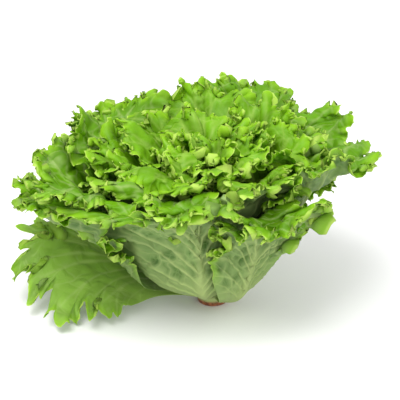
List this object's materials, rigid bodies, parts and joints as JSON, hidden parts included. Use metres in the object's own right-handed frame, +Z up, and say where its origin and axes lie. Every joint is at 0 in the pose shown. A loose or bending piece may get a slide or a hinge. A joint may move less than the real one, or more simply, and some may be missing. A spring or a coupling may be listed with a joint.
{
  "type": "head of lettuce",
  "caption": "Loose-leaf head of green lettuce with frilled rims, cut at the root and standing on its stem face, with an outer leaf fallen open at the left.",
  "frame": {"origin": "centre of the cut face of the stem, on which the head stands", "axes": "+Z up along the stem, +X to the right across the widest extent, -Y towards the front, where the two outermost upright leaves overlap"},
  "size_m": [0.2982, 0.2187, 0.1681],
  "materials": {
    "stem": "matte",
    "outer_leaf": "satin",
    "middle_leaf": "satin",
    "heart_leaf": "satin"
  },
  "bodies": {
    "root": {"stem": "stem", "fallen_leaf": "outer_leaf", "outer_leaf_01": "outer_leaf", "outer_leaf_02": "outer_leaf", "outer_leaf_03": "outer_leaf", "outer_leaf_04": "outer_leaf", "outer_leaf_05": "outer_leaf", "outer_leaf_06": "outer_leaf", "outer_leaf_07": "outer_leaf", "outer_leaf_08": "outer_leaf", "outer_leaf_09": "outer_leaf", "outer_leaf_10": "outer_leaf", "outer_leaf_11": "outer_leaf", "outer_leaf_12": "outer_leaf", "middle_leaf_13": "middle_leaf", "middle_leaf_14": "middle_leaf", "middle_leaf_15": "middle_leaf", "middle_leaf_16": "middle_leaf", "middle_leaf_17": "middle_leaf", "middle_leaf_18": "middle_leaf", "middle_leaf_19": "middle_leaf", "middle_leaf_20": "middle_leaf", "middle_leaf_21": "middle_leaf", "middle_leaf_22": "middle_leaf", "middle_leaf_23": "middle_leaf", "middle_leaf_24": "middle_leaf", "heart_leaf_25": "heart_leaf", "heart_leaf_26": "heart_leaf", "heart_leaf_27": "heart_leaf", "heart_leaf_28": "heart_leaf", "heart_leaf_29": "heart_leaf", "heart_leaf_30": "heart_leaf", "heart_leaf_31": "heart_leaf", "heart_leaf_32": "heart_leaf", "heart_leaf_33": "heart_leaf", "heart_leaf_34": "heart_leaf", "heart_leaf_35": "heart_leaf", "heart_leaf_36": "heart_leaf"}
  },
  "joints": []
}
